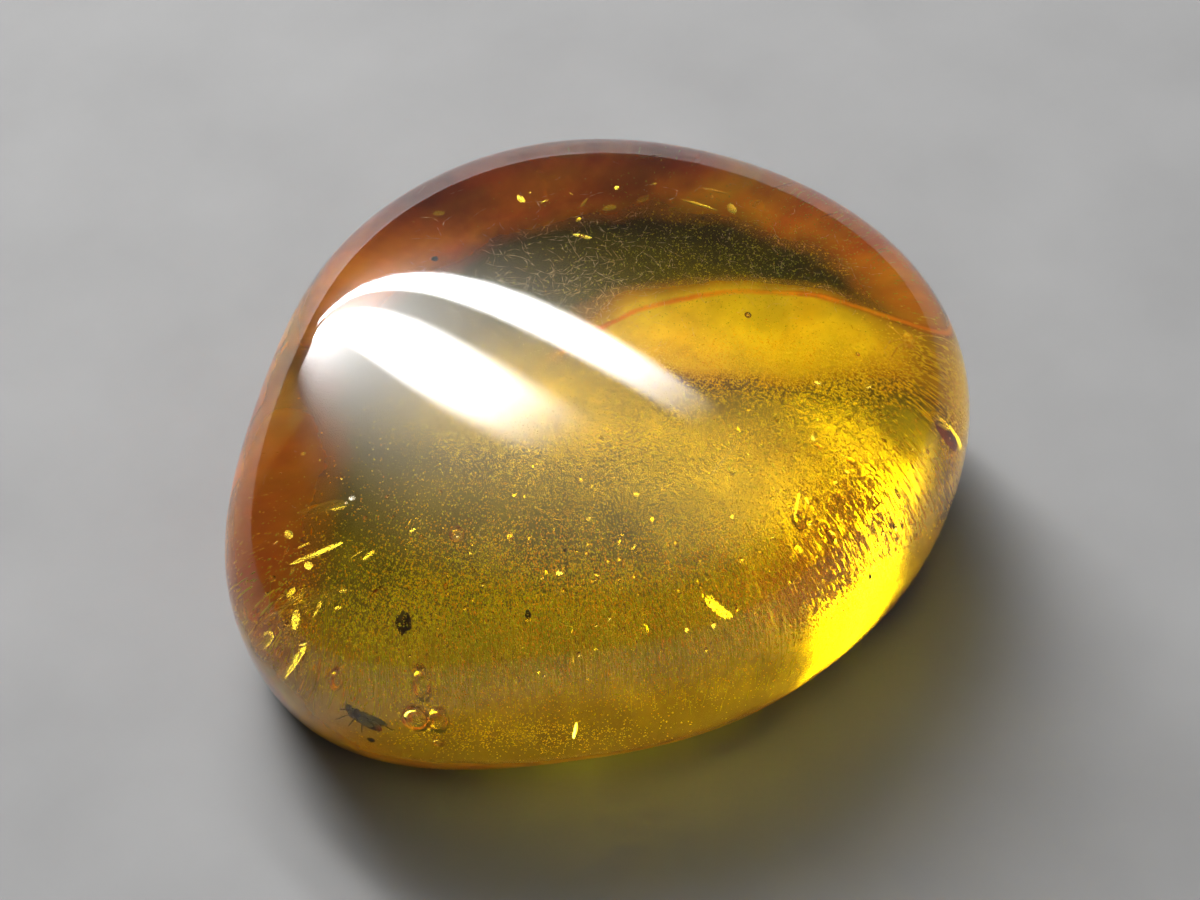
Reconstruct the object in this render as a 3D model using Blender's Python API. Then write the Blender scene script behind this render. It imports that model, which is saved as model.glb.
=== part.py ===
"""Insect in amber: a polished egg-shaped pebble of clear amber, with a dark fly and a smaller pale midge
sealed inside it.

Numbers are millimetres until to_metres() turns the finished meshes into Blender's metres. The pebble lies
on its flat base with its length along +X and +Z up, and the origin is under the middle of its box. The
amber is parted level with the insects, at PART_LEVEL, so that each insect lies in an open pocket.
"""

import math

import bmesh
import bpy
from mathutils import Matrix, Vector

MM = 0.001

# The pebble: rings of points at equal steps of latitude, from the lowest to the highest
LENGTH = 32.5
WIDTH = 27.6
HEIGHT = 12.8
RADIUS = 14.75  # of the rounded form, before it is fitted to the sizes above
MIDDLE = 7.1  # height of the form's widest ring
RISE = (7.7, 0.16, -0.44)  # height gained with the sine of the latitude, its square and its cube
FULLNESS = (0.28, -0.05)  # how far a ring stands outside a plain ellipse's, by the same square and cube
LOBES = (  # waves round the outline: how many, and their share of the radius along X and Y
    (2, 0.078, -0.021),
    (3, -0.043, -0.007),
    (4, 0.014, -0.017),
    (5, -0.013, 0.006),
    (6, 0.005, -0.004),
)
UNDERSIDE_TILT = (-0.07, -0.19)  # slope of the underside along X and Y
UNDERSIDE_BOW = (-0.48, 0.30, -0.39)  # its curve along X, XY and Y, over BOW_SPAN
BOW_SPAN = 15.0
BASE_LEVEL = 1.7  # where the flat base is ground
BASE_SOFTNESS = 0.18  # how gently it meets the sides
RINGS = 44
RING_POINTS = 72
FULL_HEIGHT_ABOVE = 30.0  # softnesses above the base where its grinding has no more effect

# The parting
PART_LEVEL = 3.5
PART_GAP = 0.3
POCKET_CLEARANCE = 0.35

# The fly, with +X towards its head
FLY_PLACE = (-13.4, -1.5, PART_LEVEL)
FLY_HEADING = 76.0
FLY_BODY = (  # centre, radii: abdomen, thorax, head
    ((-0.42, 0.0, 0.0), (0.50, 0.25, 0.24)),
    ((0.15, 0.0, 0.06), (0.32, 0.27, 0.27)),
    ((0.55, 0.0, 0.03), (0.19, 0.23, 0.20)),
)
FLY_HIPS = (0.34, 0.15, -0.04)  # along the body, front leg to hind leg
FLY_FEET = (0.72, 0.10, -0.62)
FLY_LEG_SPREAD = 0.72
FLY_LEG_RADIUS = 0.040
WING_LENGTH = 1.05
WING_WIDTH = 0.42
WING_THICKNESS = 0.05
WING_ROOT = (0.22, 0.10, 0.27)
WING_SPREAD = 16.0
WING_DROOP = 9.0

# The midge, with +X towards its head
MIDGE_PLACE = (11.5, -5.7, PART_LEVEL)
MIDGE_HEADING = 222.0
MIDGE_BODY = (  # centre, radii: abdomen, thorax, head
    ((-0.09, 0.0, 0.0), (0.20, 0.145, 0.13)),
    ((0.13, 0.0, 0.02), (0.11, 0.105, 0.11)),
    ((0.25, 0.0, 0.0), (0.065, 0.075, 0.065)),
)
MIDGE_HIPS = (0.18, 0.12, 0.06)
MIDGE_FEET = (0.85, 0.18, -0.66)
MIDGE_LEG_SPREAD = 0.62
MIDGE_LEG_RADIUS = 0.024
FEELER_REACH = 0.24


def clear_scene():
    for thing in list(bpy.data.objects):
        bpy.data.objects.remove(thing)


def material(name, colour, roughness, transmission=0.0):
    made = bpy.data.materials.new(name)
    made.use_nodes = True
    shader = made.node_tree.nodes["Principled BSDF"]
    shader.inputs["Base Color"].default_value = (*colour, 1.0)
    shader.inputs["Roughness"].default_value = roughness
    shader.inputs["Metallic"].default_value = 0.0
    shader.inputs["Transmission Weight"].default_value = transmission
    shader.inputs["IOR"].default_value = 1.54
    return made


def add_object(name, mesh):
    made = bpy.data.objects.new(name, mesh)
    bpy.context.scene.collection.objects.link(made)
    return made


def mesh_from(bm, name):
    bmesh.ops.recalc_face_normals(bm, faces=bm.faces)
    mesh = bpy.data.meshes.new(name)
    bm.to_mesh(mesh)
    bm.free()
    return mesh


def evaluated_mesh(thing):
    """The mesh that the object's modifiers make, as a mesh of its own."""
    graph = bpy.context.evaluated_depsgraph_get()
    return bpy.data.meshes.new_from_object(thing.evaluated_get(graph))


def skin_between(bm, lower, upper):
    for i, corner in enumerate(lower):
        after = (i + 1) % len(lower)
        bm.faces.new((corner, lower[after], upper[after], upper[i]))


def close_with_point(bm, ring, point):
    tip = bm.verts.new(point)
    for i, corner in enumerate(ring):
        bm.faces.new((corner, ring[(i + 1) % len(ring)], tip))


# The amber


def ring_share_and_height(latitude):
    """The ring's share of the form's radius, and its height before the underside is tilted."""
    sine = math.sin(latitude)
    share = math.cos(latitude) * (1.0 + FULLNESS[0] * sine**2 + FULLNESS[1] * sine**3)
    return share, MIDDLE + RISE[0] * sine + RISE[1] * sine**2 + RISE[2] * sine**3


def underside_drop(x, y, height):
    """How far a point below the middle moves, so that the underside is a tilted and bowed face."""
    if height >= MIDDLE:
        return 0.0
    tilt = UNDERSIDE_TILT[0] * x + UNDERSIDE_TILT[1] * y
    bow = UNDERSIDE_BOW[0] * x * x + UNDERSIDE_BOW[1] * x * y + UNDERSIDE_BOW[2] * y * y
    return (1.0 - height / MIDDLE) ** 2 * (tilt + bow / BOW_SPAN)


def ground(height):
    """The height after the base is ground flat, with a soft rim."""
    above = (height - BASE_LEVEL) / BASE_SOFTNESS
    if above > FULL_HEIGHT_ABOVE:
        return height
    return BASE_LEVEL + BASE_SOFTNESS * math.log1p(math.exp(above))


def pebble_point(latitude, turn):
    share, height = ring_share_and_height(latitude)
    waves = sum(share**n * (c * math.cos(n * turn) + d * math.sin(n * turn)) for n, c, d in LOBES)
    reach = RADIUS * share * (1.0 + waves)
    x = reach * math.cos(turn)
    y = reach * math.sin(turn)
    return x, y, ground(height + underside_drop(x, y, height))


def rounded_form():
    bm = bmesh.new()
    rings = []
    for i in range(1, RINGS):
        latitude = math.pi * (i / RINGS - 0.5)
        turns = [math.tau * j / RING_POINTS for j in range(RING_POINTS)]
        rings.append([bm.verts.new(pebble_point(latitude, turn)) for turn in turns])
    for lower, upper in zip(rings, rings[1:]):
        skin_between(bm, lower, upper)
    close_with_point(bm, rings[0], pebble_point(-math.pi / 2, 0.0))
    close_with_point(bm, rings[-1], pebble_point(math.pi / 2, 0.0))
    return mesh_from(bm, "pebble")


def cut_level(mesh, level, keep_above):
    """The mesh cut at a level and closed with one flat face, keeping what is above or what is below."""
    bm = bmesh.new()
    bm.from_mesh(mesh)
    everything = bm.verts[:] + bm.edges[:] + bm.faces[:]
    cut = bmesh.ops.bisect_plane(
        bm,
        geom=everything,
        plane_co=(0.0, 0.0, level),
        plane_no=(0.0, 0.0, 1.0),
        clear_inner=keep_above,
        clear_outer=not keep_above,
    )
    rim = [part for part in cut["geom_cut"] if isinstance(part, bmesh.types.BMEdge)]
    bmesh.ops.holes_fill(bm, edges=rim, sides=0)
    return mesh_from(bm, mesh.name)


def fit_to_box(mesh):
    """Scales the mesh to LENGTH, WIDTH and HEIGHT, over the origin at the bottom of its box."""
    corners = [vertex.co for vertex in mesh.vertices]
    low = Vector(min(corner[axis] for corner in corners) for axis in range(3))
    high = Vector(max(corner[axis] for corner in corners) for axis in range(3))
    under_middle = Vector(((low.x + high.x) / 2, (low.y + high.y) / 2, low.z))
    size = high - low
    mesh.transform(Matrix.Translation(-under_middle))
    mesh.transform(Matrix.Diagonal((LENGTH / size.x, WIDTH / size.y, HEIGHT / size.z, 1.0)))


def pebble():
    mesh = rounded_form()
    fit_to_box(mesh)
    return mesh


def amber_half(name, whole, level, keep_above, pockets):
    half = add_object(name, cut_level(whole, level, keep_above))
    for cutter in pockets:
        hollow = half.modifiers.new(cutter.name, "BOOLEAN")
        hollow.operation = "DIFFERENCE"
        hollow.object = cutter
    half.data = evaluated_mesh(half)
    half.modifiers.clear()
    return half


def pocket_around(insect):
    """A smooth hollow that clears the insect on every side."""
    corners = [insect.matrix_basis @ vertex.co for vertex in insect.data.vertices]
    low = Vector(min(corner[axis] for corner in corners) for axis in range(3))
    high = Vector(max(corner[axis] for corner in corners) for axis in range(3))
    # An ellipsoid holds the insect's rounded body and splayed legs well inside its box.
    radii = (high - low) / 2 + Vector((POCKET_CLEARANCE,) * 3)
    cutter = ellipsoid(insect.name + "_pocket", (low + high) / 2, radii, segments=20)
    cutter.hide_render = True
    cutter.display_type = "WIRE"
    return cutter


# The insects


def ellipsoid(name, centre, radii, segments=14):
    bm = bmesh.new()
    bmesh.ops.create_uvsphere(bm, u_segments=segments, v_segments=segments // 2, radius=1.0)
    bmesh.ops.transform(bm, matrix=Matrix.Diagonal((*radii, 1.0)), verts=bm.verts)
    bmesh.ops.translate(bm, vec=centre, verts=bm.verts)
    return add_object(name, mesh_from(bm, name))


def limb(name, points, radius, taper=0.6, sides=6):
    """A tapering tube through the points, with pointed ends."""
    bm = bmesh.new()
    points = [Vector(point) for point in points]
    rings = []
    for i, point in enumerate(points):
        along = (points[min(i + 1, len(points) - 1)] - points[max(i - 1, 0)]).normalized()
        across = along.orthogonal().normalized() if i == 0 else (across - along * across.dot(along)).normalized()
        girth = radius * (1.0 - (1.0 - taper) * i / (len(points) - 1))
        turn = Matrix.Rotation(math.tau / sides, 3, along)
        spoke = across * girth
        ring = []
        for _ in range(sides):
            ring.append(bm.verts.new(point + spoke))
            spoke = turn @ spoke
        rings.append(ring)
    for lower, upper in zip(rings, rings[1:]):
        skin_between(bm, lower, upper)
    close_with_point(bm, rings[0], points[0] + (points[0] - points[1]).normalized() * radius)
    close_with_point(bm, rings[-1], points[-1] + (points[-1] - points[-2]).normalized() * radius)
    return add_object(name, mesh_from(bm, name))


def leg(name, side, hip_x, foot_x, spread, radius):
    """A leg that rises from the hip to the knee and comes down to the foot."""
    reach = foot_x - hip_x
    points = (
        (hip_x, side * 0.06, -0.02),
        (hip_x + 0.25 * reach, side * 0.38 * spread, 0.10),
        (hip_x + 0.55 * reach, side * 0.62 * spread, 0.02),
        (hip_x + 0.85 * reach, side * 0.90 * spread, -0.22),
        (foot_x, side * spread, -0.28),
    )
    return limb(name, points, radius)


def wing(name, side):
    """A thin leaf from the wing's root, folded back over the body."""
    bm = bmesh.new()
    stations = ((0.0, 0.20), (0.2, 0.62), (0.5, 1.0), (0.8, 0.86), (0.95, 0.45))
    edge = [(-share * WING_LENGTH, width * WING_WIDTH / 2) for share, width in stations]
    outline = edge + [(x, -y) for x, y in reversed(edge)]
    lower = [bm.verts.new((x, y, -WING_THICKNESS / 2)) for x, y in outline]
    upper = [bm.verts.new((x, y, WING_THICKNESS / 2)) for x, y in outline]
    skin_between(bm, lower, upper)
    bm.faces.new(lower)
    bm.faces.new(upper)
    swing = Matrix.Rotation(math.radians(-side * WING_SPREAD), 4, "Z")
    droop = Matrix.Rotation(math.radians(-WING_DROOP), 4, "Y")
    root = Matrix.Translation((WING_ROOT[0], side * WING_ROOT[1], WING_ROOT[2]))
    bmesh.ops.transform(bm, matrix=root @ swing @ droop, verts=bm.verts)
    return add_object(name, mesh_from(bm, name))


def fused(name, shapes):
    """One closed body from overlapping shapes."""
    body = shapes[0]
    body.name = name
    for shape in shapes[1:]:
        join = body.modifiers.new(shape.name, "BOOLEAN")
        join.operation = "UNION"
        join.object = shape
    body.data = evaluated_mesh(body)
    body.modifiers.clear()
    for shape in shapes[1:]:
        bpy.data.objects.remove(shape)
    return body


def insect_shapes(body, hips, feet, spread, leg_radius):
    shapes = [ellipsoid("body", centre, radii) for centre, radii in body]
    for side in (-1, 1):
        for hip_x, foot_x in zip(hips, feet):
            shapes.append(leg("leg", side, hip_x, foot_x, spread, leg_radius))
    return shapes


def feelers(body, radius):
    """A pair of short feelers, forward and outward from the head."""
    (x, _, z), (front, _, _) = body[-1]
    made = []
    for side in (-1, 1):
        start = (x + 0.4 * front, side * 0.05, z)
        bend = (x + front + 0.4 * FEELER_REACH, side * 0.11, z + 0.06)
        tip = (x + front + FEELER_REACH, side * 0.20, z)
        made.append(limb("feeler", (start, bend, tip), radius))
    return made


def place(insect, location, heading):
    insect.location = location
    insect.rotation_euler.z = math.radians(heading)


def fly():
    shapes = insect_shapes(FLY_BODY, FLY_HIPS, FLY_FEET, FLY_LEG_SPREAD, FLY_LEG_RADIUS)
    shapes += feelers(FLY_BODY, FLY_LEG_RADIUS)
    shapes += [wing("wing", side) for side in (-1, 1)]
    made = fused("fly", shapes)
    place(made, FLY_PLACE, FLY_HEADING)
    return made


def midge():
    shapes = insect_shapes(MIDGE_BODY, MIDGE_HIPS, MIDGE_FEET, MIDGE_LEG_SPREAD, MIDGE_LEG_RADIUS)
    shapes += feelers(MIDGE_BODY, MIDGE_LEG_RADIUS)
    made = fused("midge", shapes)
    place(made, MIDGE_PLACE, MIDGE_HEADING)
    return made


def finish(node, surface, smooth_angle):
    node.data.materials.clear()
    node.data.materials.append(surface)
    node.data.shade_smooth()
    node.data.set_sharp_from_angle(angle=math.radians(smooth_angle))


def to_metres(things):
    for thing in things:
        thing.data.transform(Matrix.Scale(MM, 4))
        thing.location *= MM


def main():
    clear_scene()
    insects = [fly(), midge()]
    pockets = [pocket_around(insect) for insect in insects]
    whole = pebble()
    halves = [
        amber_half("amber_lower", whole, PART_LEVEL - PART_GAP / 2, False, pockets),
        amber_half("amber_upper", whole, PART_LEVEL + PART_GAP / 2, True, pockets),
    ]
    amber = material("amber", (0.86, 0.45, 0.03), 0.05, transmission=1.0)
    for half in halves:
        finish(half, amber, smooth_angle=30)
    finish(insects[0], material("dark_cuticle", (0.020, 0.022, 0.008), 0.45), smooth_angle=50)
    finish(insects[1], material("pale_cuticle", (0.62, 0.46, 0.10), 0.40), smooth_angle=50)
    to_metres(halves + insects + pockets)


main()
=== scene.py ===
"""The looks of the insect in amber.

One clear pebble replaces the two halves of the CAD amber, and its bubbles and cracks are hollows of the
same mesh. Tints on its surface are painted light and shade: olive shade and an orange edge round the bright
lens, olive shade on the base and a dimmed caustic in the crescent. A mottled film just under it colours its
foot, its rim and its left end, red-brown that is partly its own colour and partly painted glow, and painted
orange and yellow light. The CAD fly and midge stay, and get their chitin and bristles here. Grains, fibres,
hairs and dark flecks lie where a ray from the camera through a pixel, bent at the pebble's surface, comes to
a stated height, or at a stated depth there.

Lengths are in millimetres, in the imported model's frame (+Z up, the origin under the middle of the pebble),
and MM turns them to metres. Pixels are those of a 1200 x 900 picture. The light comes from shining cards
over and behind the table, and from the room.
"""

import math
import random

import bmesh
import bpy
from mathutils import Euler, Matrix, Vector
from mathutils.bvhtree import BVHTree


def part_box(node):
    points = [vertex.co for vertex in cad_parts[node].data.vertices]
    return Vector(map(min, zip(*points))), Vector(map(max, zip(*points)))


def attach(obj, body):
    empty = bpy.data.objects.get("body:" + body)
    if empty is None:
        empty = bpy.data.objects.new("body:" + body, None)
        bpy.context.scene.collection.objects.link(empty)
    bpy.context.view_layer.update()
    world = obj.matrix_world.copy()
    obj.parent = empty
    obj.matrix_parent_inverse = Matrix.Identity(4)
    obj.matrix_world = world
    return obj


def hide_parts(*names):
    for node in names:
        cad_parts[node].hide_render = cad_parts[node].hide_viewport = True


MM = 0.001

# The pebble's form, the same as the CAD pebble's
RADIUS = 14.75
MIDDLE = 7.1  # height of the widest ring
RISE = (7.7, 0.16, -0.44)  # of the rings, in powers of the sine of their latitude
FULLNESS = (0.28, -0.05)
LOBES = (  # waves round the outline: how many, and how much of their cosine and of their sine
    (2, 0.078, -0.021),
    (3, -0.043, -0.007),
    (4, 0.014, -0.017),
    (5, -0.013, 0.006),
    (6, 0.005, -0.004),
)
UNDERSIDE_TILT = (-0.07, -0.19)
UNDERSIDE_BOW = (-0.48, 0.30, -0.39)
BOW_SPAN = 15.0
BASE_LEVEL = 1.7
BASE_SOFTNESS = 0.18
FULL_HEIGHT_ABOVE = 30.0  # softnesses over the base, where its effect has ended
RINGS = 150
RING_POINTS = 300

# The camera and the picture
PICTURE = (1200, 900)
VIEW_AZIMUTH = math.radians(-48.0)
VIEW_ELEVATION = math.radians(50.0)
VIEW_DISTANCE = 119.0
LENS = 85.0
SENSOR = 36.0
CLIP = (0.001, 20.0)  # in metres
AIM_RIGHT = 0.90
AIM_AHEAD = 1.51
AIM_HEIGHT = 3.3

# The amber
AMBER_IOR = 1.54
AMBER_ABSORPTION = (7.0, 25.0, 240.0)  # per metre of red, green and blue
SHEEN_ROUGHNESS = 0.05
BASE_ROUGHNESS = 0.22  # the flat base is ground, not polished
WORN_ROUGHNESS = (0.55, 1.0)  # share of the roughness where the polish is best and worst
COAT_WEIGHT = 0.08
COAT_ROUGHNESS = 0.22
BLACK = (0.0, 0.0, 0.0)
WHITE = (1.0, 1.0, 1.0)
CLEAR = WHITE  # a tint that takes no light away

# Patches of colour. Each is a middle, radii and the heading of the first radius in degrees, and its colours
# or its shade change with the distance from the middle, in radii. Heights are shares of twice MIDDLE.
# The first four tint the amber's surface with painted light and shade, and the others are of the film under
# it: painted light, but for the red-brown at the back and the left, partly the amber's own colour and partly
# painted glow
# Painted light and shade: clear in the bright lens, a painted orange edge round it and painted olive shade
# beyond it
PAINTED_LENS_PATCH = ((4.7, -5.2, 0.0), (10.0, 8.3, 5.0), -48.0)
PAINTED_LENS_EDGE_AND_SHADE = ((0.93, CLEAR), (0.97, (0.95, 0.28, 0.01)), (1.0, (0.17, 0.32, 0.10)))
# Painted shade: an olive tint on the base round a clear middle
PAINTED_BASE_SHADE_PATCH = ((5.0, 0.5, 0.0), (7.5, 4.0, 3.0), -48.0)
PAINTED_BASE_SHADE = ((0.7, CLEAR), (1.0, (0.52, 0.60, 0.25)))
PAINTED_BASE_SHADE_HEIGHTS = ((0.02, CLEAR), (0.08, BLACK))
# Painted shade: a dark orange tint that dims the caustic seen in the crescent
PAINTED_CRESCENT_SHADE_PATCH = ((6.5, -7.5, 0.0), (7.2, 4.4, 5.0), -48.0)
PAINTED_CRESCENT_SHADE = ((0.5, (0.42, 0.15, 0.01)), (1.0, CLEAR))
# Where the painted lens tint and its edge line end
LENS_MASK = ((12.9, 3.6, 0.0), (13.0, 9.5, 2.0), -48.0)
LENS_TINT_FADE = ((0.8, CLEAR), (1.0, BLACK))
# The film's painted orange line of light along the lens's edge
PAINTED_LENS_EDGE_LINE = ((0.925, BLACK), (0.94, WHITE), (0.95, WHITE), (0.965, BLACK))
PAINTED_LENS_EDGE_FADE = ((0.85, WHITE), (1.0, BLACK))
# Red-brown film at the back, partly the amber's own colour and partly painted glow
BACK_RED_AND_PAINTED_GLOW = ((12.6, 11.4, 0.0), (12.0, 5.9, 9.5), -29.0)
BACK_FADE = ((0.80, WHITE), (1.0, BLACK))
# Red-brown film at the left, partly the amber's own colour and partly painted glow
SIDE_RED_AND_PAINTED_GLOW = ((-8.6, 9.9, 2.0), (11.5, 5.4, 9.5), 39.0)
SIDE_FADE = ((0.60, WHITE), (1.0, BLACK))
# Painted orange glow of the film at the left end
PAINTED_END_GLOW_PATCH = ((-14.0, 3.0, 1.0), (7.5, 4.6, 7.0), 70.0)
PAINTED_END_GLOW_FADE = ((0.50, (0.8, 0.8, 0.8)), (1.0, BLACK))
# Painted yellow light of the film inside the lens
PAINTED_GLOW_PATCH = ((8.4, -0.4, 0.0), (6.8, 2.7, 2.0), -48.0)
PAINTED_GLOW_FADE = ((0.70, WHITE), (1.0, BLACK))
# Painted orange rim light of the film along the low edge
PAINTED_RIM_LIGHT_PATCH = ((0.3, -0.6, 0.0), (14.9, 12.2, 30.0), 0.0)
PAINTED_RIM_LIGHT_FADE = ((0.82, BLACK), (0.92, WHITE))
PAINTED_RIM_LIGHT_HEIGHTS = ((0.09, WHITE), (0.16, BLACK))
FILM_COVER = (0.70, 0.98)  # where the film is thinnest and thickest

# Colours along a noise
GRAIN_COLOURS = ((0.3, (0.80, 0.28, 0.005)), (0.5, (0.80, 0.52, 0.01)), (0.7, (0.50, 0.60, 0.015)))
# The film's red-brown, partly the amber's own colour and partly painted glow
RED_COLOURS = (
    (0.34, (0.28, 0.035, 0.003)),
    (0.48, (0.52, 0.09, 0.004)),
    (0.58, (0.70, 0.19, 0.007)),
    (0.70, (0.85, 0.32, 0.012)),
)
# Yellow of the yellow grains, and of the film's painted yellow light
YELLOW_COLOURS = ((0.35, (1.0, 0.80, 0.04)), (0.6, (1.0, 0.95, 0.12)))
GREEN_COLOURS = ((0.35, (0.34, 0.46, 0.01)), (0.6, (0.62, 0.66, 0.02)))
# The film's painted orange light
ORANGE_COLOURS = ((0.36, (0.80, 0.20, 0.005)), (0.5, (1.0, 0.42, 0.01)), (0.64, (1.0, 0.62, 0.02)))
BROWN_COLOURS = ((0.35, (0.50, 0.20, 0.05)), (0.6, (0.65, 0.36, 0.10)))
SPECK_COLOURS = ((0.4, (0.008, 0.006, 0.004)), (0.7, (0.035, 0.022, 0.012)))
HAIR_COLOURS = ((0.4, (0.70, 0.55, 0.25)), (0.7, (0.90, 0.85, 0.65)))
FIBRE_COLOURS = ((0.35, (0.36, 0.42, 0.02)), (0.65, (0.62, 0.50, 0.03)))

# The studio: soft cards over the table, in ceiling heights along and across their strips, and one behind it
CEILING = 600.0
STRIP_ALONG = (-0.67, 0.74)  # to the camera's right, and away from it
STRIP_ACROSS = (0.74, 0.67)
CARDS = (  # name, along from, to, across from, to, brightness, soft share of the ends and of the sides
    ("far_strip", 0.15, 7.4, 0.45, 0.58, 68.0, (0.11, 0.05), 0.28),
    ("near_strip", 0.30, 5.6, 0.13, 0.36, 78.0, (0.15, 0.05), 0.30),
    ("glow", 0.10, 5.2, -0.30, 0.62, 15.0, (0.45, 0.10), 0.50),
    ("veil", -1.6, 5.0, -0.55, 0.95, 1.7, (0.42, 0.20), 0.55),
)
CARD_STEP = 4.0  # from one card up to the next
GOLD_CARD = (900.0, 1500.0, 110.0, 560.0)  # distance behind, width, lowest and highest edge
GOLD_CARD_ENDS = (0.2, 0.2)  # soft share
GOLD_CARD_SIDES = (0.3, 0.3)
GOLD_CARD_COLOUR = (1.0, 0.72, 0.06)
GOLD_CARD_BRIGHTNESS = 0.15
ROOM_LIGHT = 0.10
MAX_BOUNCES = 16
FLOOR_SIZE = 1200.0
FLOOR_DROP = 0.02  # under the pebble's base
FLOOR_GREY = 0.15
FLOOR_MOTTLE = 0.07

# What lies in the amber. Each cloud: middle and radii in pixels, heights, how many, and size
SEED = 7
WALL = 0.35  # the least amber left round a grain, a bubble or a fibre
RIM_WALL = 0.12  # and round a grain of the yellow clouds
CLOUD_SPREAD = 1.6  # standard deviations in a cloud's radius
GRAIN_SHARES = (0.5, 1.0)  # a grain's radii, in its size
GRAIN_CLOUDS = (
    ((520, 600), (190, 95), (0.8, 7.5), 12000, (0.014, 0.042)),
    ((760, 600), (150, 75), (0.8, 8.0), 6000, (0.014, 0.040)),
    ((650, 450), (200, 110), (1.0, 10.0), 5000, (0.012, 0.034)),
)
GREEN_CLOUDS = (
    ((440, 620), (120, 70), (0.6, 6.0), 10000, (0.014, 0.040)),
    ((640, 620), (150, 70), (0.6, 6.0), 10000, (0.014, 0.040)),
    ((740, 260), (150, 60), (0.5, 1.5), 3500, (0.014, 0.036)),
)
YELLOW_CLOUDS = (
    ((735, 366), (125, 27), (0.5, 1.1), 7000, (0.022, 0.050)),
    ((850, 372), (70, 34), (0.5, 1.3), 3000, (0.022, 0.050)),
    ((600, 440), (130, 40), (0.5, 1.5), 3000, (0.022, 0.050)),
    ((520, 735), (110, 16), (0.6, 2.4), 1400, (0.020, 0.045)),
)
BROWN_CLOUDS = (
    ((845, 505), (58, 62), (1.0, 6.0), 5000, (0.020, 0.045)),
    ((800, 590), (50, 40), (1.0, 5.0), 1500, (0.020, 0.045)),
    ((850, 610), (36, 46), (0.8, 4.0), 2600, (0.020, 0.045)),
)
FILM_DEPTH = 0.3  # under the surface
FILM_TOP = 11.0
FILM_RINGS = 80
FILM_RING_POINTS = 160
FIBRE_CLOUDS = (
    ((500, 650), (150, 40), (1.0, 5.0), 500, (0.4, 1.5)),
    ((700, 650), (120, 40), (1.0, 5.0), 260, (0.3, 1.2)),
)
FIBRE_RADIUS = 0.013
FIBRE_LEAN = 0.12
BUBBLES = (  # pixel, height, radius
    ((416, 720), 3.3, 0.52),
    ((438, 722), 2.0, 0.42),
    ((439, 743), 2.4, 0.24),
    ((422, 684), 2.6, 0.32),
    ((748, 315), 9.0, 0.14),
    ((797, 520), 4.0, 0.20),
    ((457, 535), 5.0, 0.30),
    ((582, 236), 8.0, 0.13),
    ((338, 678), 3.0, 0.22),
)
BUBBLE_CLOUDS = (
    ((560, 560), (190, 110), (1.5, 8.0), 46, (0.03, 0.10)),
    ((800, 500), (110, 90), (1.5, 8.0), 30, (0.03, 0.09)),
    ((430, 590), (60, 60), (1.5, 7.0), 18, (0.04, 0.10)),
)
FLAKES = (  # pixel, height, half length and half width, heading in the picture in degrees
    ((322, 508), 5.0, 0.85, 0.22, 4.0),
    ((340, 506), 5.4, 0.30, 0.14, 20.0),
    ((318, 552), 4.6, 0.90, 0.10, 12.0),
    ((358, 552), 5.2, 0.35, 0.10, 40.0),
    ((312, 598), 4.4, 0.95, 0.20, 14.0),
    ((285, 606), 4.0, 0.90, 0.12, 30.0),
    ((292, 634), 3.8, 0.35, 0.30, 70.0),
    ((262, 642), 3.6, 0.30, 0.22, 0.0),
    ((285, 672), 3.2, 0.75, 0.16, 32.0),
    ((303, 662), 3.3, 0.28, 0.18, 60.0),
    ((376, 592), 4.6, 0.30, 0.10, 55.0),
    ((368, 556), 5.0, 0.25, 0.09, 45.0),
    ((582, 236), 7.4, 0.42, 0.10, -25.0),
    ((700, 205), 5.0, 0.80, 0.07, -30.0),
    ((715, 190), 4.6, 0.60, 0.06, -25.0),
    ((648, 157), 4.2, 0.55, 0.10, 10.0),
    ((784, 186), 4.4, 0.40, 0.08, 15.0),
    ((936, 416), 3.6, 0.22, 0.16, 60.0),
    ((948, 437), 3.2, 0.24, 0.16, 80.0),
    ((957, 445), 3.0, 0.18, 0.12, 80.0),
    ((718, 608), 3.4, 0.42, 0.16, -20.0),
    ((575, 731), 2.4, 0.50, 0.07, 90.0),
    ((797, 505), 4.6, 0.45, 0.05, 75.0),
    ((880, 510), 4.0, 0.35, 0.05, 50.0),
)
FLAKE_THICKNESS = 0.03
FLAKE_CORNERS = 12
FLAKE_TILT = 0.05
FLAKE_WIDTHS = (0.2, 0.8)  # of a cloud's flakes, in their half lengths
FLAKE_CLOUDS = (  # middle, radii, heights, how many, half lengths
    ((300, 600), (45, 80), (2.5, 6.0), 26, (0.08, 0.30)),
    ((560, 560), (200, 100), (1.5, 8.0), 110, (0.03, 0.12)),
    ((820, 480), (90, 90), (1.5, 8.0), 50, (0.03, 0.14)),
    ((640, 190), (130, 30), (2.0, 6.0), 26, (0.06, 0.30)),
)
SPARKS = (  # pixel, how far along its ray in the amber, half length and half width
    ((352, 498), 0.5, 0.13),
    ((346, 503), 0.5, 0.06),
    ((361, 506), 0.6, 0.05),
    ((457, 535), 0.9, 0.10),
)
GLINT_PLACE = (1.6, 0.30)  # what the flakes reflect, in ceiling heights along and across the strips
SPECKS = (  # pixel, height, radius
    ((404, 621), 5.0, 0.27),
    ((528, 615), 5.0, 0.10),
    ((703, 218), 6.0, 0.07),
    ((435, 259), 9.0, 0.13),
    ((870, 578), 3.0, 0.07),
    ((565, 550), 4.0, 0.05),
    ((354, 713), 3.9, 0.20),
    ((371, 740), 3.3, 0.15),
    ((349, 708), 3.8, 0.12),
)
SPECK_UNEVENNESS = 0.22
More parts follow.
